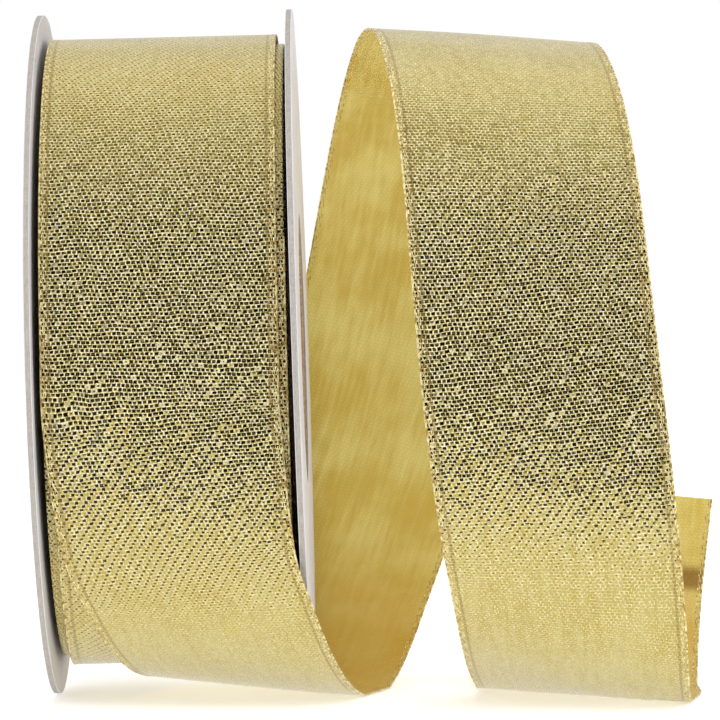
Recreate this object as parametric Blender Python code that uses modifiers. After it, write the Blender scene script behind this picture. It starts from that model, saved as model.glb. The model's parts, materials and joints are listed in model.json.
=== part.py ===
"""A spool of wired-edge gold ribbon, standing on its flanges with a length of ribbon left off.

All sizes are in metres, +Z is up and the floor is at z = 0. The spool's axis runs along X, with
its right-hand end raised a little, because the right flange stands on the ribbon that passes
under it. The wound ribbon, the core and both flanges turn as one about that axis. The last part
of the ribbon stays where it is: it lies loosely on the roll, leaves it low at the front, passes
under the right flange and goes round in a rising and falling loop beside the spool.
"""

import math

import bmesh
import bpy
from mathutils import Matrix, Vector

MM = 0.001

# Ribbon: the standard inch and a half width, with a wire woven into each edge.
RIBBON_WIDTH = 38.1 * MM
RIBBON_THICKNESS = 0.4 * MM
WIRE_DIAMETER = 0.4 * MM
WIRE_CLEARANCE = 0.1 * MM
WEB_HALF_WIDTH = RIBBON_WIDTH / 2 - WIRE_DIAMETER - WIRE_CLEARANCE
WIRE_OFFSET = RIBBON_WIDTH / 2 - WIRE_DIAMETER / 2

# Spool: two laminated board discs on a paper tube, which ends just inside their outer faces.
FLANGE_RADIUS = 57.3 * MM
FLANGE_GAP = 41.3 * MM
BOARD_THICKNESS = 0.76 * MM
LINER_THICKNESS = 0.10 * MM
LAMINATION_GAP = 0.02 * MM
FLANGE_THICKNESS = BOARD_THICKNESS + 2 * (LINER_THICKNESS + LAMINATION_GAP)
CORE_RADIUS = 22.5 * MM
CORE_WALL = 1.3 * MM
HOLE_CLEARANCE = 0.3 * MM
CORE_EDGE = 0.2 * MM
CORE_RECESS = 0.35 * MM

# Winding: the pack of turns, and the tape that holds its first turn to the core.
PACK_INNER_RADIUS = 23.2 * MM
PACK_RADIUS = 51.7 * MM
TAPE_RADIUS = 22.8 * MM
TAPE_THICKNESS = 0.15 * MM
TAPE_WIDTH = 30.0 * MM
TAPE_ARC = math.radians(55)

# Pose: how far the axis rises towards +X, and how far out of true the right flange sits.
AXIS_LEAN = -0.0247
RIGHT_FLANGE_TILT = -0.0085
AXIS_HEIGHT = (
    FLANGE_RADIUS * math.cos(AXIS_LEAN) - (FLANGE_GAP / 2 + FLANGE_THICKNESS) * math.sin(AXIS_LEAN)
)

# Route of the ribbon's centre line round the axis. The angle is in degrees, 0 at the front and
# growing downwards, so 90 is the floor, 180 the back and 270 the top. Then come the place along
# X and the distance from the axis, both in millimetres, and the cant: how far the surface rises
# away from the axis for each millimetre across it, towards +X.
OUTER_TURN_START = -380
LEAVES_ROLL = 12
ROUTE = [
    (OUTER_TURN_START, 0.8, 52.2, 0.00),
    (-300, 0.8, 52.3, 0.00),
    (-200, 0.0, 52.7, 0.00),
    (-100, -0.5, 53.0, 0.00),
    (0, -0.5, 53.1, 0.00),
    (LEAVES_ROLL, -0.5, 53.1, 0.00),
    (36, 1.7, 55.3, 0.13),
    (50, 5.2, 55.8, 0.14),
    (90, 14.8, 56.8, 0.09),
    (135, 24.2, 60.5, -0.04),
    (180, 37.6, 62.0, -0.08),
    (225, 45.8, 58.0, 0.00),
    (270, 51.2, 53.5, -0.06),
    (315, 55.8, 54.5, -0.10),
    (360, 59.6, 58.4, -0.06),
    (405, 65.1, 60.0, 0.18),
    (430, 67.5, 58.7, 0.20),
    (450, 70.0, 58.2, 0.06),
    (470, 70.6, 59.2, 0.05),
    (495, 72.7, 60.6, -0.02),
    (516, 75.5, 61.4, -0.05),
]
SETTLED_ANGLE = 90
STEP_ANGLE = 5
CUT_GAP_ANGLE = 0.05
WEB_CELLS_ACROSS = 8
TURNED_STEPS = 120


# Materials.

def plain_material(name, color, roughness, metallic=0.0):
    material = bpy.data.materials.new(name)
    material.use_nodes = True
    shader = material.node_tree.nodes["Principled BSDF"]
    shader.inputs["Base Color"].default_value = (*color, 1.0)
    shader.inputs["Roughness"].default_value = roughness
    shader.inputs["Metallic"].default_value = metallic
    return material


# Scene helpers.

def clear_scene():
    for thing in list(bpy.data.objects):
        bpy.data.objects.remove(thing)


def add_to_part(thing, parent=None):
    bpy.data.collections["ribbon_spool"].objects.link(thing)
    thing.parent = parent
    return thing


def add_frame(name, parent=None, location=(0, 0, 0), lean=0.0):
    """An empty that places what is parented to it, leaning about Y."""
    frame = bpy.data.objects.new(name, None)
    frame.location = location
    frame.rotation_euler = (0, lean, 0)
    return add_to_part(frame, parent)


def add_mesh_object(name, mesh, material, parent):
    mesh.materials.append(material)
    return add_to_part(bpy.data.objects.new(name, mesh), parent)


# Turned pieces: a closed profile of (radius, place along the axis), swept round the axis.

def turned_piece(name, profile, material, parent, along=0.0):
    mesh = bpy.data.meshes.new(name)
    points = [(radius, 0, place) for radius, place in profile]
    edges = [(i, (i + 1) % len(points)) for i in range(len(points))]
    mesh.from_pydata(points, edges, [])
    piece = add_mesh_object(name, mesh, material, parent)
    piece.location = (along, 0, 0)
    piece.rotation_euler = (0, math.pi / 2, 0)
    screw = piece.modifiers.new("turn", "SCREW")
    screw.axis = "Z"
    screw.angle = 2 * math.pi
    screw.steps = TURNED_STEPS
    screw.render_steps = TURNED_STEPS
    screw.use_merge_vertices = True
    screw.merge_threshold = 0.00001
    screw.use_smooth_shade = False
    return piece


def disc_profile(inner, outer, low, high):
    return [(outer, high), (outer, low), (inner, low), (inner, high)]


def flange(side, seat, materials):
    """One flange about its seat's origin: a grey board with a pale liner on each face.

    side is +1 for the right flange and -1 for the left, and the outer liner faces that way.
    """
    hole = CORE_RADIUS + HOLE_CLEARANCE
    name = "right_flange" if side > 0 else "left_flange"
    board = disc_profile(hole, FLANGE_RADIUS, -BOARD_THICKNESS / 2, BOARD_THICKNESS / 2)
    turned_piece(f"{name}_board", board, materials["board"], seat)
    liner = disc_profile(hole, FLANGE_RADIUS, -LINER_THICKNESS / 2, LINER_THICKNESS / 2)
    step = BOARD_THICKNESS / 2 + LAMINATION_GAP + LINER_THICKNESS / 2
    turned_piece(f"{name}_outer_liner", liner, materials["liner"], seat, along=side * step)
    turned_piece(f"{name}_inner_liner", liner, materials["liner"], seat, along=-side * step)


def core_profile():
    """Outline of the tube's wall, which ends inside the flanges' holes, with its edges eased."""
    end = FLANGE_GAP / 2 + FLANGE_THICKNESS - CORE_RECESS
    inner = CORE_RADIUS - CORE_WALL
    right_end = [(inner, end - CORE_EDGE), (inner + CORE_EDGE, end)]
    right_end += [(CORE_RADIUS - CORE_EDGE, end), (CORE_RADIUS, end - CORE_EDGE)]
    left_end = [(radius, -place) for radius, place in reversed(right_end)]
    return right_end + left_end


def pack_profile():
    """Section of the wound pack, whose turns wander a little to each side.

    Each point is a share of the pack's depth, from its inside outwards, and a place in mm.
    """
    right_side = [(1.0, 19.3), (0.9, 19.7), (0.7, 19.2), (0.4, 19.4), (0.0, 19.1)]
    left_side = [(0.0, -19.1), (0.4, -18.9), (0.7, -19.3), (0.9, -19.6), (1.0, -19.4)]
    outline = []
    for share, place in reversed(right_side + left_side):
        outline.append((PACK_INNER_RADIUS + share * (PACK_RADIUS - PACK_INNER_RADIUS), place * MM))
    return outline


# The free ribbon: a strip that follows the route.

def smooth_between(low, high, value):
    """0 at low, 1 at high, with a level start and end."""
    share = min(max((value - low) / (high - low), 0.0), 1.0)
    return share * share * (3 - 2 * share)


def route_slope(index, column):
    """Slope of one column of the route at one of its rows, from the rows on either side."""
    before = ROUTE[max(index - 1, 0)]
    after = ROUTE[min(index + 1, len(ROUTE) - 1)]
    return (after[column] - before[column]) / (after[0] - before[0])


def route_value(angle, column):
    """One column of the route at an angle, on a smooth curve through every row."""
    index = 0
    while index < len(ROUTE) - 2 and angle > ROUTE[index + 1][0]:
        index += 1
    first, second = ROUTE[index], ROUTE[index + 1]
    span = second[0] - first[0]
    t = (angle - first[0]) / span
    value = (2 * t**3 - 3 * t**2 + 1) * first[column] + (3 * t**2 - 2 * t**3) * second[column]
    value += (t**3 - 2 * t**2 + t) * span * route_slope(index, column)
    value += (t**3 - t**2) * span * route_slope(index + 1, column)
    return value


def centre_point(angle):
    turn = math.radians(angle)
    radius = route_value(angle, 2)
    return Vector((route_value(angle, 1), -radius * math.cos(turn), -radius * math.sin(turn))) * MM


def width_direction(angle):
    """Unit vector across the ribbon, towards +X, square to the way that it runs."""
    along = (centre_point(angle + 0.5) - centre_point(angle - 0.5)).normalized()
    turn = math.radians(angle)
    outwards = Vector((0, -math.cos(turn), -math.sin(turn)))
    across = Vector((1, 0, 0)) + outwards * route_value(angle, 3)
    return (across - along * across.dot(along)).normalized()


def ribbon_point(angle, offset):
    """Point of the ribbon's middle surface, about a level axis, offset across its width.

    On the roll the strip leans with the spool's axis. By the floor it is level, and the floor
    flattens it.
    """
    point = centre_point(angle) + width_direction(angle) * offset
    settled = smooth_between(LEAVES_ROLL, SETTLED_ANGLE, angle)
    point = Matrix.Rotation(AXIS_LEAN * (1 - settled), 3, "Y") @ point
    lowest = -AXIS_HEIGHT + RIBBON_THICKNESS / 2
    point.z = max(point.z, lowest)
    return point


def station_angles(start, end):
    count = round((end - start) / STEP_ANGLE)
    return [start + (end - start) * i / count for i in range(count + 1)]


def ribbon_web(name, start, end, material, parent):
    """The woven part of one stretch: a flat grid bent along the route and given its thickness."""
    angles = station_angles(start, end)
    cells = len(angles) - 1
    web = bmesh.new()
    bmesh.ops.create_grid(web, x_segments=cells, y_segments=WEB_CELLS_ACROSS, size=0.5)
    for vertex in web.verts:
        angle = angles[round((vertex.co.x + 0.5) * cells)]
        vertex.co = ribbon_point(angle, vertex.co.y * 2 * WEB_HALF_WIDTH)
    mesh = bpy.data.meshes.new(name)
    web.to_mesh(mesh)
    web.free()
    piece = add_mesh_object(name, mesh, material, parent)
    thickness = piece.modifiers.new("thickness", "SOLIDIFY")
    thickness.thickness = RIBBON_THICKNESS
    thickness.offset = 0
    return piece


def edge_wire(name, side, material, parent):
    """The fine wire along one edge of the free ribbon, for its whole length."""
    angles = station_angles(OUTER_TURN_START, ROUTE[-1][0])
    curve = bpy.data.curves.new(name, "CURVE")
    curve.dimensions = "3D"
    curve.bevel_depth = WIRE_DIAMETER / 2
    curve.bevel_resolution = 1
    curve.use_fill_caps = True
    spline = curve.splines.new("POLY")
    spline.points.add(len(angles) - 1)
    for point, angle in zip(spline.points, angles):
        point.co = (*ribbon_point(angle, side * WIRE_OFFSET), 1)
    curve.materials.append(material)
    return add_to_part(bpy.data.objects.new(name, curve), parent)


def start_tape(material, parent):
    """The tape that holds the ribbon's inner end to the core, bent round the tube."""
    tape = bmesh.new()
    bmesh.ops.create_grid(tape, x_segments=12, y_segments=1, size=0.5)
    for vertex in tape.verts:
        turn = vertex.co.x * TAPE_ARC
        across = vertex.co.y * TAPE_WIDTH
        vertex.co = (across, TAPE_RADIUS * math.sin(turn), TAPE_RADIUS * math.cos(turn))
    mesh = bpy.data.meshes.new("start_tape")
    tape.to_mesh(mesh)
    tape.free()
    piece = add_mesh_object("start_tape", mesh, material, parent)
    thickness = piece.modifiers.new("thickness", "SOLIDIFY")
    thickness.thickness = TAPE_THICKNESS
    thickness.offset = 0
    return piece


# Assembly.

def build_spool(axis, materials):
    """Everything that turns with the spool, about the axis frame's X."""
    seat_place = FLANGE_GAP / 2 + FLANGE_THICKNESS / 2
    left_seat = add_frame("left_flange_seat", axis, (-seat_place, 0, 0))
    right_seat = add_frame("right_flange_seat", axis, (seat_place, 0, 0), RIGHT_FLANGE_TILT)
    flange(-1, left_seat, materials)
    flange(+1, right_seat, materials)
    turned_piece("core_tube", core_profile(), materials["kraft"], axis)
    start_tape(materials["tape"], axis)
    turned_piece("ribbon_pack", pack_profile(), materials["lame"], axis)


def build_free_ribbon(level, materials):
    """Everything that stays put while the spool turns."""
    tail_start = LEAVES_ROLL + CUT_GAP_ANGLE
    ribbon_web("ribbon_outer_turn", OUTER_TURN_START, LEAVES_ROLL, materials["lame"], level)
    ribbon_web("ribbon_tail", tail_start, ROUTE[-1][0], materials["lame"], level)
    edge_wire("edge_wire_left", -1, materials["wire"], level)
    edge_wire("edge_wire_right", +1, materials["wire"], level)


def centre_over_origin(frame):
    """Moves the whole part so that its box is centred over the origin."""
    bpy.context.view_layer.update()
    graph = bpy.context.evaluated_depsgraph_get()
    corners = []
    for thing in bpy.data.collections["ribbon_spool"].objects:
        if thing.type != "EMPTY":
            placed = thing.evaluated_get(graph)
            mesh = placed.to_mesh()
            corners += [placed.matrix_world @ vertex.co for vertex in mesh.vertices]
            placed.to_mesh_clear()
    for axis in (0, 1):
        places = [corner[axis] for corner in corners]
        frame.location[axis] = -(min(places) + max(places)) / 2
    frame.location.z = -min(corner.z for corner in corners)


def main():
    clear_scene()
    part = bpy.data.collections.new("ribbon_spool")
    bpy.context.scene.collection.children.link(part)
    materials = {
        "board": plain_material("grey_board", (0.52, 0.50, 0.46), 0.9),
        "liner": plain_material("white_liner", (0.78, 0.77, 0.76), 0.75),
        "kraft": plain_material("kraft_paper", (0.50, 0.38, 0.25), 0.85),
        "tape": plain_material("clear_tape", (0.85, 0.83, 0.72), 0.35),
        "lame": plain_material("gold_lame", (0.72, 0.58, 0.22), 0.38, 0.8),
        "wire": plain_material("gold_wire", (0.80, 0.66, 0.28), 0.3, 1.0),
    }
    base = add_frame("spool_base")
    level = add_frame("free_ribbon_frame", base, (0, 0, AXIS_HEIGHT))
    axis = add_frame("spool_axis", base, (0, 0, AXIS_HEIGHT), AXIS_LEAN)
    build_spool(axis, materials)
    build_free_ribbon(level, materials)
    centre_over_origin(base)


main()
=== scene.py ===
"""Looks of the ribbon spool: the gold lame ribbon, its wired selvedges and the paperboard spool.

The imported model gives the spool's axis and box. The loose ribbon follows the same route round
that axis as the CAD's solids do. Sizes are in metres unless a name says millimetres.
"""

import json
import math

import bmesh
import bpy
from mathutils import Matrix, Vector


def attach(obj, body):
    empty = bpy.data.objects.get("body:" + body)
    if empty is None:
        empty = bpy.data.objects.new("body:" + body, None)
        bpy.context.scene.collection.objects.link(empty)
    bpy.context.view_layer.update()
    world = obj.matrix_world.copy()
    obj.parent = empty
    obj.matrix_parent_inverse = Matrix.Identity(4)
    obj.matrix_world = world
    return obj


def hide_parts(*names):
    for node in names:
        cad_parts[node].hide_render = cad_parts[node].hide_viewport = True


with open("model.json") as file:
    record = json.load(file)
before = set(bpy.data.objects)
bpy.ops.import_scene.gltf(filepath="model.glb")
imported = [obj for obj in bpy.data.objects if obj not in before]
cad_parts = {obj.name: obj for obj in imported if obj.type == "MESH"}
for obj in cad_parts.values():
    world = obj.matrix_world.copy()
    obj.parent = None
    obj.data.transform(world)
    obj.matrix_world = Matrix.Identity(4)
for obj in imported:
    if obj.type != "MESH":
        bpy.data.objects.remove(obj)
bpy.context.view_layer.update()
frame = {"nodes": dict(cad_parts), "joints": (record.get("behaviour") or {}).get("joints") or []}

NODES = frame["nodes"]
SPIN = frame["joints"][0]
AXIS_CENTRE = Vector(SPIN["pos_m"])
AXIS_LEAN = -math.atan2(SPIN["axis"][2], SPIN["axis"][0])
AXIS_FRAME = Matrix.Translation(AXIS_CENTRE) @ Matrix.Rotation(AXIS_LEAN, 4, "Y")
MM = 0.001

# Ribbon: an inch and a half wide, woven, with a wire bound into each edge.
RIBBON_WIDTH = 38.1 * MM
WEB_THICKNESS = 0.22 * MM
WEB_HALF_WIDTH = RIBBON_WIDTH / 2 - 0.35 * MM
WIRED_THICKNESS = 0.4 * MM
BINDING_OFFSET = RIBBON_WIDTH / 2 - 0.78 * MM
BINDING_RADIUS = 0.15 * MM
BINDING_SWAY = 0.16 * MM
BINDING_PITCH = 2.1 * MM
BINDING_SWELL = 0.35
WIRE_OFFSET = RIBBON_WIDTH / 2 - 0.22 * MM
WIRE_RADIUS = 0.20 * MM
WIRE_PITCH = 0.62 * MM
WIRE_SWELL = 0.15

# Route of the loose ribbon's centre line round the axis, as the CAD has it: the angle in degrees
# (0 at the front, 90 at the floor, 180 at the back, 270 on top), then in millimetres the place
# along X and the distance from the axis, then the cant across the width.
OUTER_TURN_START = -380
LEAVES_ROLL = 12
LAST_BACKED_ANGLE = 50
SETTLED_ANGLE = 90
ROUTE = [
    (OUTER_TURN_START, 0.8, 52.2, 0.00),
    (-300, 0.8, 52.3, 0.00),
    (-200, 0.0, 52.7, 0.00),
    (-100, -0.5, 53.0, 0.00),
    (0, -0.5, 53.1, 0.00),
    (LEAVES_ROLL, -0.5, 53.1, 0.00),
    (36, 1.7, 55.3, 0.13),
    (50, 5.2, 55.8, 0.14),
    (90, 14.8, 56.8, 0.09),
    (135, 24.2, 60.5, -0.04),
    (180, 37.6, 62.0, -0.08),
    (225, 45.8, 58.0, 0.00),
    (270, 51.2, 53.5, -0.06),
    (315, 55.8, 54.5, -0.10),
    (360, 59.6, 58.4, -0.06),
    (405, 65.1, 60.0, 0.18),
    (430, 67.5, 58.7, 0.20),
    (450, 70.0, 58.2, 0.06),
    (470, 70.6, 59.2, 0.05),
    (495, 72.7, 60.6, -0.02),
    (516, 75.5, 61.4, -0.05),
]
ROUTE_END = ROUTE[-1][0]
END_CREASE = 500
WEB_STEP = 1.0
THREAD_STEP = 0.25

# Wound ribbon: the turns under the loose one.
FIRST_TURN_RADIUS = 23.35 * MM
LAST_TURN_RADIUS = 51.5 * MM
TURNS = 91
STATIONS_PER_TURN = 80

# Weave: the size of one patch of foil, along and across, how far each row of patches is shifted
# sideways from the one before, as a share of a patch, and the gaps, domes and tilts in a patch.
# Gaps, painted dark as shade inside the weave, shrink between two heights above or below the axis, as
# painted light that reaches in, by a factor that is one number on the backed length and another on the free
# one.
ROW_PITCH = 0.64 * MM
COLUMN_PITCH = 0.78 * MM
ROW_SHIFT = 0.63
GAP_SIZE = 0.09
GAP_CHANGE = 0.22
GAP_SHRINKS = 0.23
FREE_SHRINKS = (0.7, 2.0)
BACKED_BLUR = 12 * MM
LIT_HEIGHTS = (18 * MM, 50 * MM)
EDGE_RAGGED = 0.22
DOME_STEEPNESS = 0.42
SIDE_STEEPNESS = 3.5
PATCH_TILT = 0.65
EDGE_LINE_OFFSET = 1.45 * MM

# Colours, linear: the foil and threads of the ribbon's face, its gaps, and the back.
FOIL_PALE = (0.76, 0.65, 0.25)
FOIL_DEEP = (0.64, 0.50, 0.13)
FOIL_PAINTED_GLINT = (0.88, 0.80, 0.50)
THREAD_PALE_PAINTED_HIGHLIGHT = (1.00, 0.95, 0.64)
THREAD_CALM = (0.80, 0.70, 0.35)
THREAD_DEEP = (0.64, 0.52, 0.20)
# Gap colours are painted shade inside the weave: near black at the axis height, brown where painted light
# reaches in.
GAP_PAINTED_SHADE = (0.006, 0.004, 0.003)
GAP_LIT_BROWN = (0.14, 0.09, 0.02)
EDGE_BROWN = (0.34, 0.22, 0.06)
BACK_PALE = (0.94, 0.85, 0.31)
BACK_DEEP = (0.76, 0.57, 0.11)
BACK_SHADE = (0.42, 0.28, 0.05)
BACK_LOW_PAINTED_SHADE = (0.64, 0.38, 0.04)
BACK_CREASE_PAINTED_SHADE = (0.34, 0.19, 0.02)

# Camera: a long lens, level with the axis and a little to the right of the spool's middle.
CAMERA_OFFSET = Vector((0.0354, -0.860, 0.0))
CAMERA_YAW = 0.0049
CAMERA_PITCH = -0.0017
LENS_MM = 253.9


# Route of the loose ribbon.

def smooth_between(low, high, value):
    """0 at low, 1 at high, with a level start and end."""
    share = min(max((value - low) / (high - low), 0.0), 1.0)
    return share * share * (3 - 2 * share)


def route_slope(index, column):
    """Slope of one column of the route at one of its rows, from the rows on either side."""
    before = ROUTE[max(index - 1, 0)]
    after = ROUTE[min(index + 1, len(ROUTE) - 1)]
    return (after[column] - before[column]) / (after[0] - before[0])


def route_value(angle, column):
    """One column of the route at an angle, on a smooth curve through every row."""
    index = 0
    while index < len(ROUTE) - 2 and angle > ROUTE[index + 1][0]:
        index += 1
    first, second = ROUTE[index], ROUTE[index + 1]
    span = second[0] - first[0]
    t = (angle - first[0]) / span
    value = (2 * t**3 - 3 * t**2 + 1) * first[column] + (3 * t**2 - 2 * t**3) * second[column]
    value += (t**3 - 2 * t**2 + t) * span * route_slope(index, column)
    value += (t**3 - t**2) * span * route_slope(index + 1, column)
    return value


def centre_point(angle):
    turn = math.radians(angle)
    radius = route_value(angle, 2)
    return Vector((route_value(angle, 1), -radius * math.cos(turn), -radius * math.sin(turn))) * MM


def width_direction(angle):
    """Unit vector across the ribbon, towards +X, square to the way that it runs."""
    along = (centre_point(angle + 0.5) - centre_point(angle - 0.5)).normalized()
    turn = math.radians(angle)
    outwards = Vector((0, -math.cos(turn), -math.sin(turn)))
    across = Vector((1, 0, 0)) + outwards * route_value(angle, 3)
    return (across - along * across.dot(along)).normalized()


def ripple(angle, offset):
    """Small unevenness of the cloth off its smooth course: none on the roll, more on the loop."""
    loose = smooth_between(LEAVES_ROLL, 110, angle)
    along = math.radians(angle)
    share = offset / (RIBBON_WIDTH / 2)
    wave = math.sin(7.3 * along + 2.1 * share) * 0.5 + math.sin(13.7 * along - 3.4 * share) * 0.3
    bow = share * share - 0.35
    crease = math.exp(-(((angle - END_CREASE - 2.5 * share) / 3.2) ** 2))
    return (wave * 0.16 + bow * 0.25 * math.sin(2.3 * along + 1.0) + 0.9 * crease) * loose * MM


def ribbon_point(angle, offset):
    """Point of the ribbon's middle surface: leaning with the spool on the roll, level by the floor.

    The floor flattens the surface where it would go lower.
    """
    point = centre_point(angle) + width_direction(angle) * offset
    settled = smooth_between(LEAVES_ROLL, SETTLED_ANGLE, angle)
    point = Matrix.Rotation(AXIS_LEAN * (1 - settled), 3, "Y") @ point
    turn = math.radians(angle)
    point += Vector((0, -math.cos(turn), -math.sin(turn))) * ripple(angle, offset)
    point += AXIS_CENTRE
    point.z = max(point.z, WIRED_THICKNESS / 2)
    return point


def ribbon_frame(angle, offset):
    """Point of the middle surface, and its unit directions across the ribbon and outwards."""
    point = ribbon_point(angle, offset)
    along = ribbon_point(angle + 0.4, offset) - ribbon_point(angle - 0.4, offset)
    across = ribbon_point(angle, offset + 0.5 * MM) - ribbon_point(angle, offset - 0.5 * MM)
    across.normalize()
    outwards = along.cross(across).normalized()
    return point, across, outwards


def even_angles(start, end, step):
    count = round((end - start) / step)
    return [start + (end - start) * i / count for i in range(count + 1)]


def arc_lengths(angles):
    """Distance along the loose ribbon's centre line at each angle."""
    lengths = [0.0]
    for before, after in zip(angles, angles[1:]):
        lengths.append(lengths[-1] + (ribbon_point(after, 0) - ribbon_point(before, 0)).length)
    return lengths


def length_up_to(angle):
    """Length of the loose ribbon from the start of its turn to an angle of its route."""
    return arc_lengths(even_angles(OUTER_TURN_START, angle, 1.0))[-1]


# Mesh building.

def new_piece(name, mesh, materials, smooth=True):
    for material in materials:
        mesh.materials.append(material)
    if smooth:
        mesh.shade_smooth()
        mesh.set_sharp_from_angle(angle=math.radians(50))
    piece = bpy.data.objects.new(name, mesh)
    bpy.context.scene.collection.objects.link(piece)
    return piece


def loft(rings, labels=None, skin_of=None):
    """A closed mesh through rings of points, all of one length, with a cap at each end.

    labels gives each point's (u, v) for the weave, and skin_of(i) the material of the faces that
    follow point i of each ring.
    """
    build = bmesh.new()
    weave = build.loops.layers.uv.new("weave")
    size = len(rings[0])
    made = [[build.verts.new(point) for point in ring] for ring in rings]
    for i in range(len(rings) - 1):
        for j in range(size):
            k = (j + 1) % size
            face = build.faces.new((made[i][j], made[i][k], made[i + 1][k], made[i + 1][j]))
            face.material_index = skin_of(j) if skin_of else 0
            if labels:
                corners = (labels[i][j], labels[i][k], labels[i + 1][k], labels[i + 1][j])
                for loop, label in zip(face.loops, corners):
                    loop[weave].uv = label
    build.faces.new(list(reversed(made[0])))
    build.faces.new(made[-1])
    bmesh.ops.recalc_face_normals(build, faces=build.faces)
    mesh = bpy.data.meshes.new("loft")
    build.to_mesh(mesh)
    build.free()
    return mesh


def web_section(cells):
    """The web's outline across its width: (offset, side), outer skin first, then inner skin."""
    offsets = [WEB_HALF_WIDTH * (2 * i / cells - 1) for i in range(cells + 1)]
    outer = [(offset, 0.5) for offset in offsets]
    inner = [(offset, -0.5) for offset in reversed(offsets)]
    return outer + inner


def loose_web(materials):
    """The loose ribbon's cloth: the free turn on the roll and the length beside the spool."""
    angles = even_angles(OUTER_TURN_START, ROUTE_END, WEB_STEP)
    lengths = arc_lengths(angles)
    cells = 14
    section = web_section(cells)
    rings, labels = [], []
    for angle, length in zip(angles, lengths):
        ring = []
        for offset, side in section:
            point, across, outwards = ribbon_frame(angle, offset)
            ring.append(point + outwards * (side * WEB_THICKNESS))
        rings.append(ring)
        labels.append([(length, offset) for offset, side in section])
    mesh = loft(rings, labels, lambda j: 0 if j <= cells else 1)
    return new_piece("loose_ribbon_web", mesh, materials), lengths[-1]


def strand(offset, radius, pitch, swell, sway, sides=6):
    """Rings of a thread along one edge of the loose ribbon.

    It swells twice and sways once to each side in every pitch, and lies higher on one crossing
    than on the other.
    """
    angles = even_angles(OUTER_TURN_START, ROUTE_END, THREAD_STEP)
    lengths = arc_lengths(angles)
    rings = []
    for angle, length in zip(angles, lengths):
        phase = 2 * math.pi * length / pitch
        thick = radius * (1 - swell * (0.5 + 0.5 * math.cos(2 * phase)))
        shift = sway * math.sin(phase)
        lift = 0.35 * sway * math.cos(phase)
        point, across, outwards = ribbon_frame(angle, offset)
        point += across * shift + outwards * lift
        ring = []
        for k in range(sides):
            turn = 2 * math.pi * k / sides
            ring.append(point + (across * math.cos(turn) + outwards * math.sin(turn)) * thick)
        rings.append(ring)
    return rings


def join_meshes(meshes):
    build = bmesh.new()
    build.loops.layers.uv.new("weave")
    for mesh in meshes:
        build.from_mesh(mesh)
    joined = bpy.data.meshes.new("joined")
    build.to_mesh(joined)
    build.free()
    return joined


def selvedge(name, side, material):
    """One bound edge: two threads that cross like a chain, and the wire wrapped at the very edge."""
    meshes = []
    for sway in (BINDING_SWAY, -BINDING_SWAY):
        rings = strand(side * BINDING_OFFSET, BINDING_RADIUS, 2 * BINDING_PITCH, BINDING_SWELL, sway)
        meshes.append(loft(rings))
    meshes.append(loft(strand(side * WIRE_OFFSET, WIRE_RADIUS, 2 * WIRE_PITCH, WIRE_SWELL, 0.0)))
    return new_piece(name, join_meshes(meshes), [material])


# Wound ribbon.

def wander(turn):
    """How far a turn of the wound ribbon sits off centre, the last ones as far as they show."""
    slow = 0.35 * math.sin(0.9 * turn) + 0.30 * math.sin(2.3 * turn + 1.0)
    last = smooth_between(TURNS - 6, TURNS, turn)
    ragged = 0.75 * math.sin(2.6 * (TURNS - turn) + 0.6)
    return (slow * (1 - last) + ragged * last) * MM


def wound_ribbon(materials):
    """Every turn of the ribbon on the core, as one long strip wound outwards."""
    half_width = RIBBON_WIDTH / 2
    half_web = 0.10 * MM
    half_edge = 0.14 * MM
    upper = [
        (-half_width, 0.0),
        (-half_width + 0.3 * MM, half_edge),
        (-half_width + 1.2 * MM, half_web),
        (half_width - 1.2 * MM, half_web),
        (half_width - 0.3 * MM, half_edge),
        (half_width, 0.0),
    ]
    section = upper + [(offset, -lift) for offset, lift in reversed(upper[1:-1])]
    rings, labels = [], []
    length = 0.0
    last_station = TURNS * STATIONS_PER_TURN
    for station in range(last_station + 1):
        turn = station / STATIONS_PER_TURN
        radius = FIRST_TURN_RADIUS + (LAST_TURN_RADIUS - FIRST_TURN_RADIUS) * turn / TURNS
        angle = 2 * math.pi * turn
        shift = wander(turn)
        ring = []
        for offset, lift in section:
            far = radius + lift
            local = Vector((offset + shift, -far * math.cos(angle), -far * math.sin(angle)))
            ring.append(AXIS_FRAME @ local)
        rings.append(ring)
        labels.append([(length, offset) for offset, lift in section])
        length += 2 * math.pi * radius / STATIONS_PER_TURN
    mesh = loft(rings, labels, lambda j: 0 if j < len(upper) - 1 else 1)
    return new_piece("wound_ribbon", mesh, materials), length


# Materials.

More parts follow.
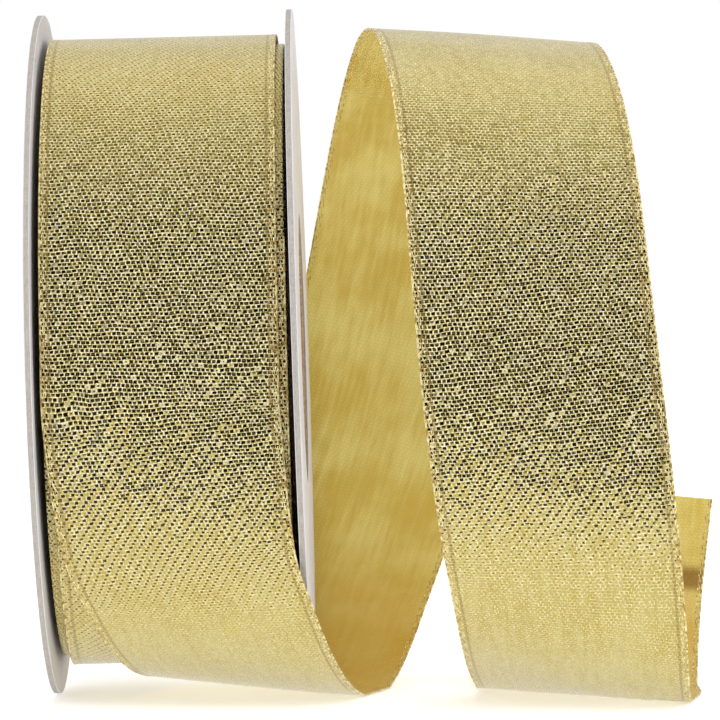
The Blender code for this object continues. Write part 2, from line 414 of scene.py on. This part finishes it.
class Graph:
    """A node tree, with one short call for each kind of node."""

    def __init__(self, tree):
        self.tree = tree

    def node(self, kind, **settings):
        made = self.tree.nodes.new(kind)
        for key, value in settings.items():
            setattr(made, key, value)
        return made

    def feed(self, socket, value):
        """Links an output to a socket, or sets the socket to a number, colour or vector."""
        if isinstance(value, bpy.types.NodeSocket):
            self.tree.links.new(value, socket)
        elif isinstance(value, tuple) and socket.type == "RGBA":
            socket.default_value = (*value, 1.0)
        else:
            socket.default_value = value

    def math(self, operation, first, second=0.0, third=0.0):
        made = self.node("ShaderNodeMath", operation=operation)
        for socket, value in zip(made.inputs, (first, second, third)):
            self.feed(socket, value)
        return made.outputs[0]

    def ramp(self, value, low, high, start=0.0, end=1.0):
        """Smooth step from start, at low, to end, at high."""
        made = self.node("ShaderNodeMapRange", interpolation_type="SMOOTHSTEP")
        for key, number in (("From Min", low), ("From Max", high), ("To Min", start), ("To Max", end)):
            made.inputs[key].default_value = number
        self.feed(made.inputs["Value"], value)
        return made.outputs["Result"]

    def mix(self, factor, first, second):
        made = self.node("ShaderNodeMix", data_type="RGBA")
        self.feed(made.inputs["Factor"], factor)
        self.feed(made.inputs["A"], first)
        self.feed(made.inputs["B"], second)
        return made.outputs["Result"]

    def vector(self, x, y, z):
        made = self.node("ShaderNodeCombineXYZ")
        for socket, value in zip(made.inputs, (x, y, z)):
            self.feed(socket, value)
        return made.outputs[0]

    def noise(self, where, scale, detail=2.0, roughness=0.5):
        made = self.node("ShaderNodeTexNoise")
        self.feed(made.inputs["Vector"], where)
        made.inputs["Scale"].default_value = scale
        made.inputs["Detail"].default_value = detail
        made.inputs["Roughness"].default_value = roughness
        return made.outputs["Fac"]

    def bump(self, height, distance, strength=1.0, normal=None):
        made = self.node("ShaderNodeBump")
        self.feed(made.inputs["Height"], height)
        made.inputs["Distance"].default_value = distance
        made.inputs["Strength"].default_value = strength
        if normal is not None:
            self.feed(made.inputs["Normal"], normal)
        return made.outputs["Normal"]

    def weave_place(self):
        """(distance along, distance across) of the ribbon, in metres."""
        place = self.node("ShaderNodeUVMap", uv_map="weave")
        parts = self.node("ShaderNodeSeparateXYZ")
        self.feed(parts.inputs[0], place.outputs["UV"])
        return parts.outputs["X"], parts.outputs["Y"]

    def object_place(self):
        return self.node("ShaderNodeTexCoord").outputs["Object"]

    def object_parts(self):
        """X, Y and Z of the place on the object."""
        parts = self.node("ShaderNodeSeparateXYZ")
        self.feed(parts.inputs[0], self.object_place())
        return parts.outputs


class MaterialGraph(Graph):
    """A new material's node tree, and its Principled shader."""

    def __init__(self, name):
        self.material = bpy.data.materials.new(name)
        self.material.use_nodes = True
        super().__init__(self.material.node_tree)
        self.shader = self.tree.nodes["Principled BSDF"]


def weave_cells(graph):
    """Splits the ribbon into cells, laid like bricks, one for each patch of foil in the weave.

    Returns the place inside the cell along and across the ribbon, from -0.5 to 0.5, the cell's
    column and a random colour of its own.
    """
    along, across = graph.weave_place()
    drift = graph.noise(graph.vector(along, across, 0.0), 200.0, 1.0)
    loose = graph.math("MULTIPLY", graph.math("SUBTRACT", drift, 0.5), 1.2)
    rows = graph.math("ADD", graph.math("DIVIDE", along, ROW_PITCH), loose)
    row = graph.math("FLOOR", rows)
    columns = graph.math("MULTIPLY_ADD", row, ROW_SHIFT, graph.math("DIVIDE", across, COLUMN_PITCH))
    columns = graph.math("SUBTRACT", columns, loose)
    column = graph.math("FLOOR", columns)
    inside_along = graph.math("SUBTRACT", graph.math("FRACT", rows), 0.5)
    inside_across = graph.math("SUBTRACT", graph.math("FRACT", columns), 0.5)
    chance = graph.node("ShaderNodeTexWhiteNoise", noise_dimensions="2D")
    graph.feed(chance.inputs["Vector"], graph.vector(column, row, 0.0))
    own = graph.node("ShaderNodeSeparateColor")
    graph.feed(own.inputs[0], chance.outputs["Color"])
    return inside_along, inside_across, column, own


def foil_tone(graph, streak):
    """Bands of tone along the ribbon, from threads that lie tighter or looser, from 0 to 1."""
    along, across = graph.weave_place()
    band = graph.noise(graph.vector(graph.math("MULTIPLY", along, 0.10), across, 3.0), 800.0, 3.0, 0.6)
    patch = graph.noise(graph.vector(along, across, 7.0), 70.0, 3.0)
    band = graph.math("MULTIPLY", band, streak)
    return graph.math("MULTIPLY_ADD", patch, 1 - streak, band)


def from_centre(graph, inside_along, inside_across):
    """How far a place is from the middle of its cell, 0.5 at the cell's edge."""
    return graph.math("MAXIMUM", graph.math("ABSOLUTE", inside_along), graph.math("ABSOLUTE", inside_across))


def gap_size(graph, column, chance, lit, backed):
    """Half size of the dark gap in a cell: every other one is wide, and the rest are narrow.

    Gaps shrink where the light reaches in, and most of all past the length that is backed.
    """
    along, across = graph.weave_place()
    free = graph.ramp(along, backed - BACKED_BLUR, backed + BACKED_BLUR, *FREE_SHRINKS)
    shrink = graph.math("MULTIPLY", graph.math("MULTIPLY", lit, GAP_SHRINKS), free)
    size = graph.math("MULTIPLY_ADD", graph.math("PINGPONG", column, 1.0), GAP_CHANGE, GAP_SIZE)
    size = graph.math("MULTIPLY_ADD", chance, 0.10, size)
    return graph.math("SUBTRACT", size, shrink)


def face_color(graph, tone, fleck, far, gap, lit, odd, chance):
    """Foil with a painted white glint on odd patches, paler threads round it with a painted highlight near
    the axis height, the gap in its middle painted as shade, and the brown line by each edge.
    """
    along, across = graph.weave_place()
    foil = graph.mix(graph.ramp(tone, 0.35, 0.65), FOIL_DEEP, FOIL_PALE)
    # Painted glint: patches that stand out of line are coloured towards white.
    foil = graph.mix(graph.ramp(graph.math("ABSOLUTE", odd), 0.5, 0.95), foil, FOIL_PAINTED_GLINT)
    width = graph.math("MULTIPLY_ADD", chance, -0.12, 0.46)
    threads = graph.ramp(graph.math("SUBTRACT", far, width), -0.04, 0.04)
    # Painted highlight: the threads are paler near the height of the axis and calmer towards the top and the
    # bottom.
    pale = graph.mix(graph.math("MULTIPLY", lit, 0.8), THREAD_PALE_PAINTED_HIGHLIGHT, THREAD_CALM)
    thread = graph.mix(graph.ramp(fleck, 0.42, 0.62), THREAD_DEEP, pale)
    color = graph.mix(threads, foil, thread)
    # Painted shade in the gaps, turning brown where painted light reaches in towards the top and the bottom.
    color = graph.mix(gap, color, graph.mix(lit, GAP_PAINTED_SHADE, GAP_LIT_BROWN))
    from_edge = graph.math("SUBTRACT", RIBBON_WIDTH / 2, graph.math("ABSOLUTE", across))
    beside = graph.math("ABSOLUTE", graph.math("SUBTRACT", from_edge, EDGE_LINE_OFFSET))
    line = graph.ramp(beside, 0.1 * MM, 0.35 * MM, 0.5, 0.0)
    return graph.mix(line, color, EDGE_BROWN), threads


def face_normal(graph, inside_along, inside_across, own, odd):
    """The foil is gently domed, each patch also tilts by its own amount, and the cloth is uneven."""
    along, across = graph.weave_place()
    steep = graph.math("MULTIPLY_ADD", own.outputs[0], 0.6, 0.7)
    rise_along = graph.math("MULTIPLY", graph.math("MULTIPLY", inside_along, steep), DOME_STEEPNESS)
    bulge = graph.math("MULTIPLY", graph.math("MULTIPLY", inside_across, inside_across), SIDE_STEEPNESS)
    bulge = graph.math("MULTIPLY", graph.math("ADD", bulge, DOME_STEEPNESS), inside_across)
    rise_across = graph.math("MULTIPLY", bulge, steep)
    rise_along = graph.math("MULTIPLY_ADD", odd, PATCH_TILT, rise_along)
    aside = graph.math("MULTIPLY_ADD", own.outputs[0], 2.0, -1.0)
    rise_across = graph.math("MULTIPLY_ADD", graph.math("MULTIPLY", aside, odd), PATCH_TILT, rise_across)
    slope_along = graph.math("MULTIPLY_ADD", rise_along, 0.5, 0.5)
    slope_across = graph.math("MULTIPLY_ADD", rise_across, 0.5, 0.5)
    domed = graph.node("ShaderNodeNormalMap", uv_map="weave")
    graph.feed(domed.inputs["Color"], graph.vector(slope_along, slope_across, 1.0))
    uneven = graph.noise(graph.vector(along, across, 11.0), 260.0, 2.0)
    return graph.bump(uneven, 0.00025, 0.5, domed.outputs["Normal"])


def lame_face_material(backed):
    """The ribbon's face: mirror-like patches of gold foil between pale matt threads.

    The gaps are painted dark, as shade inside the weave, at the height of the axis. They shrink and turn
    brown towards the top and the bottom, which is painted light that reaches into the cloth. This follows
    the height on the piece itself, so it turns with the spool and doesn't answer to other lights.
    """
    graph = MaterialGraph("lame_face")
    along, across = graph.weave_place()
    inside_along, inside_across, column, own = weave_cells(graph)
    tone = foil_tone(graph, 0.6)
    fleck = graph.noise(graph.vector(along, across, 5.0), 2600.0, 1.0)
    ragged = graph.math("MULTIPLY_ADD", fleck, EDGE_RAGGED, -0.5 * EDGE_RAGGED)
    far = graph.math("ADD", from_centre(graph, inside_along, inside_across), ragged)

    rise = graph.math("SUBTRACT", graph.object_parts()["Z"], AXIS_CENTRE.z)
    height = graph.math("ABSOLUTE", rise)
    lit = graph.ramp(height, *LIT_HEIGHTS)
    size = gap_size(graph, column, own.outputs[2], lit, backed)
    gap = graph.ramp(graph.math("SUBTRACT", far, size), -0.05, 0.05, 1.0, 0.0)

    # A few patches stand out of line, and their colour is painted towards a white glint, mostly near the
    # height of the axis.
    odd = graph.math("MULTIPLY_ADD", own.outputs[1], 2.0, -1.0)
    odd = graph.math("MULTIPLY", graph.math("MULTIPLY", odd, odd), odd)
    odd = graph.math("MULTIPLY", odd, graph.ramp(height, 14 * MM, 42 * MM, 1.0, 0.12))
    color, threads = face_color(graph, tone, fleck, far, gap, lit, odd, own.outputs[2])

    shader = graph.shader.inputs
    graph.feed(shader["Base Color"], color)
    dull = graph.math("MAXIMUM", graph.math("MULTIPLY", threads, 0.85), gap)
    graph.feed(shader["Metallic"], graph.math("SUBTRACT", 1.0, dull))
    graph.feed(shader["Roughness"], graph.ramp(tone, 0.3, 0.7, 0.12, 0.22))
    graph.feed(shader["Normal"], face_normal(graph, inside_along, inside_across, own, odd))
    shader["Specular IOR Level"].default_value = 0.2
    shader["Sheen Weight"].default_value = 0.04
    shader["Sheen Roughness"].default_value = 0.3
    shader["Sheen Tint"].default_value = (1.0, 0.95, 0.80, 1.0)
    return graph.material


def lame_back_material(crease):
    """The ribbon's back: smoother gold, softly mottled, with the weave just showing through.

    It has deeper gold painted near the floor as shade, by the height on the piece itself, and painted shade
    along the crease near the loose end.
    """
    graph = MaterialGraph("lame_back")
    inside_along, inside_across, _, _ = weave_cells(graph)
    tone = foil_tone(graph, 0.35)
    weave = graph.ramp(from_centre(graph, inside_along, inside_across), 0.15, 0.45)
    foil = graph.mix(graph.ramp(tone, 0.35, 0.65), BACK_DEEP, BACK_PALE)
    color = graph.mix(graph.math("MULTIPLY", weave, 0.12), foil, BACK_SHADE)
    # Painted shade: deeper amber gold towards the floor, by the height on the piece.
    low = graph.ramp(graph.object_parts()["Z"], 2 * MM, 34 * MM, 0.7, 0.0)
    color = graph.mix(low, color, BACK_LOW_PAINTED_SHADE)
    along, across = graph.weave_place()
    # Painted shade along the crease near the loose end, mottled by the tone.
    beside = graph.math("ABSOLUTE", graph.math("SUBTRACT", along, crease))
    crease_painted_shade = graph.math("MULTIPLY_ADD", tone, 0.4, graph.ramp(beside, 0.5 * MM, 6 * MM, 0.6, 0.0))
    color = graph.mix(graph.ramp(crease_painted_shade, 0.3, 0.8), color, BACK_CREASE_PAINTED_SHADE)
    height = graph.math("MULTIPLY_ADD", weave, 0.25, tone)
    shader = graph.shader.inputs
    graph.feed(shader["Base Color"], color)
    graph.feed(shader["Metallic"], 0.25)
    graph.feed(shader["Roughness"], graph.ramp(tone, 0.3, 0.7, 0.34, 0.48))
    graph.feed(shader["Normal"], graph.bump(height, 0.0003, 0.6))
    shader["Sheen Weight"].default_value = 0.08
    return graph.material


def thread_material(name, color, dark):
    """Bright metallic thread, twisted finely and unevenly bright."""
    graph = MaterialGraph(name)
    place = graph.object_place()
    patch = graph.noise(place, 1400.0, 2.0, 0.6)
    graph.feed(graph.shader.inputs["Base Color"], graph.mix(graph.ramp(patch, 0.38, 0.62), dark, color))
    graph.feed(graph.shader.inputs["Roughness"], graph.ramp(patch, 0.3, 0.7, 0.36, 0.18))
    graph.feed(graph.shader.inputs["Metallic"], 0.3)
    graph.feed(graph.shader.inputs["Normal"], graph.bump(patch, 0.0002, 0.8))
    return graph.material


def paper_material(name, color, fleck, grain_scale, roughness):
    """Matt paper: soft mottling, fine fibres and a faintly uneven surface."""
    graph = MaterialGraph(name)
    place = graph.object_place()
    mottle = graph.noise(place, 90.0, 4.0, 0.6)
    fibre = graph.noise(place, grain_scale, 5.0, 0.7)
    tone = graph.math("ADD", graph.math("MULTIPLY", mottle, 0.5), graph.math("MULTIPLY", fibre, 0.5))
    graph.feed(graph.shader.inputs["Base Color"], graph.mix(graph.ramp(tone, 0.36, 0.6), fleck, color))
    graph.feed(graph.shader.inputs["Roughness"], graph.ramp(fibre, 0.3, 0.7, roughness, roughness - 0.1))
    graph.feed(graph.shader.inputs["Normal"], graph.bump(fibre, 0.00012, 0.5))
    return graph.material


def board_material():
    """Grey chipboard: thin plies along the axis, torn fibres and dust on the cut rim."""
    graph = MaterialGraph("grey_board_look")
    place = graph.node("ShaderNodeMapping")
    graph.feed(place.inputs["Vector"], graph.object_place())
    place.inputs["Scale"].default_value = (9.0, 1.0, 1.0)
    plies = graph.noise(place.outputs[0], 700.0, 4.0, 0.7)
    fibre = graph.noise(graph.object_place(), 2400.0, 4.0, 0.7)
    tone = graph.math("ADD", graph.math("MULTIPLY", plies, 0.6), graph.math("MULTIPLY", fibre, 0.4))
    color = graph.mix(graph.ramp(tone, 0.36, 0.62), (0.38, 0.355, 0.325), (0.52, 0.485, 0.445))
    graph.feed(graph.shader.inputs["Base Color"], color)
    graph.feed(graph.shader.inputs["Roughness"], graph.ramp(fibre, 0.3, 0.7, 0.95, 0.8))
    graph.feed(graph.shader.inputs["Normal"], graph.bump(tone, 0.0003, 0.8))
    return graph.material


def kraft_material():
    """Kraft paper tube: plies wound in a spiral, with a darker line at each seam."""
    graph = MaterialGraph("kraft_tube_look")
    parts = graph.object_parts()
    fore = graph.math("SUBTRACT", parts["Y"], AXIS_CENTRE.y)
    rise = graph.math("SUBTRACT", parts["Z"], AXIS_CENTRE.z)
    turn = graph.math("DIVIDE", graph.math("ARCTAN2", rise, fore), 2 * math.pi)
    spiral = graph.math("ADD", graph.math("DIVIDE", parts["X"], 32 * MM), turn)
    seam = graph.math("PINGPONG", spiral, 0.5)
    fibre = graph.noise(graph.object_place(), 1500.0, 5.0, 0.7)
    paper = graph.mix(graph.ramp(fibre, 0.35, 0.65), (0.36, 0.25, 0.15), (0.56, 0.42, 0.28))
    color = graph.mix(graph.ramp(seam, 0.0, 0.02, 1.0, 0.0), paper, (0.20, 0.13, 0.08))
    height = graph.math("MULTIPLY_ADD", fibre, 0.3, graph.ramp(seam, 0.0, 0.02))
    graph.feed(graph.shader.inputs["Base Color"], color)
    graph.feed(graph.shader.inputs["Roughness"], graph.ramp(fibre, 0.3, 0.7, 0.9, 0.75))
    graph.feed(graph.shader.inputs["Normal"], graph.bump(height, 0.0002, 0.7))
    return graph.material


def tape_material():
    """Thin clear tape, slightly yellow and streaked along its length."""
    graph = MaterialGraph("clear_tape_look")
    streak = graph.noise(graph.object_place(), 600.0, 3.0)
    graph.feed(graph.shader.inputs["Base Color"], graph.mix(streak, (0.80, 0.76, 0.60), (0.90, 0.87, 0.76)))
    graph.feed(graph.shader.inputs["Roughness"], graph.ramp(streak, 0.3, 0.7, 0.2, 0.4))
    graph.feed(graph.shader.inputs["Normal"], graph.bump(streak, 0.0001, 0.4))
    return graph.material


# Stage.

def world_light():
    """White for the camera. Reflections see a dark front with a few strip lights, and a bright rest."""
    world = bpy.data.worlds.new("studio")
    bpy.context.scene.world = world
    world.use_nodes = True
    tree = world.node_tree
    tree.nodes.clear()
    graph = Graph(tree)
    way = graph.node("ShaderNodeSeparateXYZ")
    graph.feed(way.inputs[0], graph.node("ShaderNodeTexCoord").outputs["Generated"])
    above = graph.ramp(way.outputs["Z"], 0.45, 1.0, 0.0, 0.40)
    behind = graph.ramp(way.outputs["Y"], -0.1, 0.75, 0.0, 0.70)
    sideways = graph.math("ABSOLUTE", way.outputs["X"])
    aside = graph.ramp(sideways, 0.62, 0.85, 0.0, 1.2)
    studio = graph.math("ADD", graph.math("ADD", above, behind), aside)
    for place, middle, power in ((way.outputs["Z"], 0.30, 0.3), (sideways, 0.40, 0.2)):
        away = graph.math("ABSOLUTE", graph.math("SUBTRACT", place, middle))
        studio = graph.math("ADD", studio, graph.ramp(away, 0.02, 0.07, power, 0.0))
    studio = graph.math("ADD", studio, 0.004)
    path = graph.node("ShaderNodeLightPath")
    level = graph.node("ShaderNodeMix", data_type="FLOAT")
    graph.feed(level.inputs["Factor"], path.outputs["Is Glossy Ray"])
    graph.feed(level.inputs["A"], 0.85)
    graph.feed(level.inputs["B"], studio)
    seen = graph.node("ShaderNodeMix", data_type="FLOAT")
    graph.feed(seen.inputs["Factor"], path.outputs["Is Camera Ray"])
    graph.feed(seen.inputs["A"], level.outputs["Result"])
    graph.feed(seen.inputs["B"], 1.0)
    light = graph.node("ShaderNodeBackground")
    tint = graph.mix(path.outputs["Is Camera Ray"], (1.0, 0.985, 0.96), (1.0, 1.0, 1.0))
    graph.feed(light.inputs["Color"], tint)
    graph.feed(light.inputs["Strength"], seen.outputs["Result"])
    output = graph.node("ShaderNodeOutputWorld")
    graph.feed(output.inputs["Surface"], light.outputs[0])


def floor():
    """A white table top. Reflections see it glow behind a line in front of the part, dark before it."""
    build = bmesh.new()
    bmesh.ops.create_grid(build, x_segments=1, y_segments=1, size=6.0)
    mesh = bpy.data.meshes.new("floor")
    build.to_mesh(mesh)
    build.free()
    graph = MaterialGraph("floor_look")
    dark_from = AXIS_CENTRE.y - 0.165
    bright_from = AXIS_CENTRE.y - 0.100
    bright = graph.ramp(graph.object_parts()["Y"], dark_from, bright_from, 0.004, 0.90)
    glow = graph.node("ShaderNodeEmission")
    graph.feed(glow.inputs["Color"], (1.0, 0.99, 0.96))
    graph.feed(glow.inputs["Strength"], bright)
    pale = graph.noise(graph.object_place(), 30.0, 3.0)
    graph.feed(graph.shader.inputs["Base Color"], graph.mix(pale, (0.90, 0.90, 0.90), (0.93, 0.93, 0.93)))
    graph.shader.inputs["Roughness"].default_value = 0.8
    graph.feed(graph.shader.inputs["Emission Color"], (1.0, 1.0, 1.0))
    graph.shader.inputs["Emission Strength"].default_value = 0.45
    path = graph.node("ShaderNodeLightPath")
    choose = graph.node("ShaderNodeMixShader")
    graph.feed(choose.inputs[0], path.outputs["Is Glossy Ray"])
    graph.feed(choose.inputs[1], graph.shader.outputs[0])
    graph.feed(choose.inputs[2], glow.outputs[0])
    output = graph.tree.nodes["Material Output"]
    graph.feed(output.inputs["Surface"], choose.outputs[0])
    plane = new_piece("floor", mesh, [graph.material], smooth=False)
    plane.location.z = -0.0002


def area_light(name, place, target, size, power):
    light = bpy.data.lights.new(name, "AREA")
    light.shape = "SQUARE"
    light.size = size
    light.energy = power
    lamp = bpy.data.objects.new(name, light)
    lamp.visible_glossy = False
    lamp.location = place
    lamp.rotation_euler = (target - place).to_track_quat("-Z", "Y").to_euler()
    bpy.context.scene.collection.objects.link(lamp)


def camera():
    data = bpy.data.cameras.new("camera")
    data.lens = LENS_MM
    data.sensor_width = 36.0
    data.clip_start = 0.01
    data.clip_end = 50.0
    view = bpy.data.objects.new("camera", data)
    view.location = AXIS_CENTRE + CAMERA_OFFSET
    view.rotation_euler = (math.pi / 2 + CAMERA_PITCH, 0, CAMERA_YAW)
    bpy.context.scene.collection.objects.link(view)
    bpy.context.scene.camera = view


# Assembly.

def paint(node, material):
    thing = NODES[node]
    thing.data.materials.clear()
    thing.data.materials.append(material)
    thing.data.shade_smooth()
    thing.data.set_sharp_from_angle(angle=math.radians(40))


def paint_spool():
    liner = paper_material("white_liner_look", (0.80, 0.79, 0.84), (0.70, 0.69, 0.74), 1800.0, 0.75)
    board = board_material()
    for side in ("left", "right"):
        paint(f"{side}_flange_board", board)
        paint(f"{side}_flange_outer_liner", liner)
        paint(f"{side}_flange_inner_liner", liner)
    paint("core_tube", kraft_material())
    paint("start_tape", tape_material())


def dress_ribbon():
    face = lame_face_material(length_up_to(LAST_BACKED_ANGLE))
    back = lame_back_material(length_up_to(END_CREASE))
    thread = thread_material("gold_thread", (1.00, 0.90, 0.46), (0.40, 0.24, 0.05))
    web, free_length = loose_web([face, back])
    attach(web, "free_ribbon")
    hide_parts("ribbon_outer_turn", "ribbon_tail")
    for name, side, node in (
        ("selvedge_left", -1, "edge_wire_left"),
        ("selvedge_right", 1, "edge_wire_right"),
    ):
        edge = selvedge(name, side, thread)
        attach(edge, "free_ribbon")
        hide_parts(node)
    wound, wound_length = wound_ribbon([face, back])
    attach(wound, "spool")
    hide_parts("ribbon_pack")


paint_spool()
dress_ribbon()
world_light()
floor()
area_light("overhead", AXIS_CENTRE + Vector((0.1, -0.45, 0.85)), AXIS_CENTRE, 0.6, 3.2)
camera()
bpy.context.scene.view_settings.view_transform = "Standard"
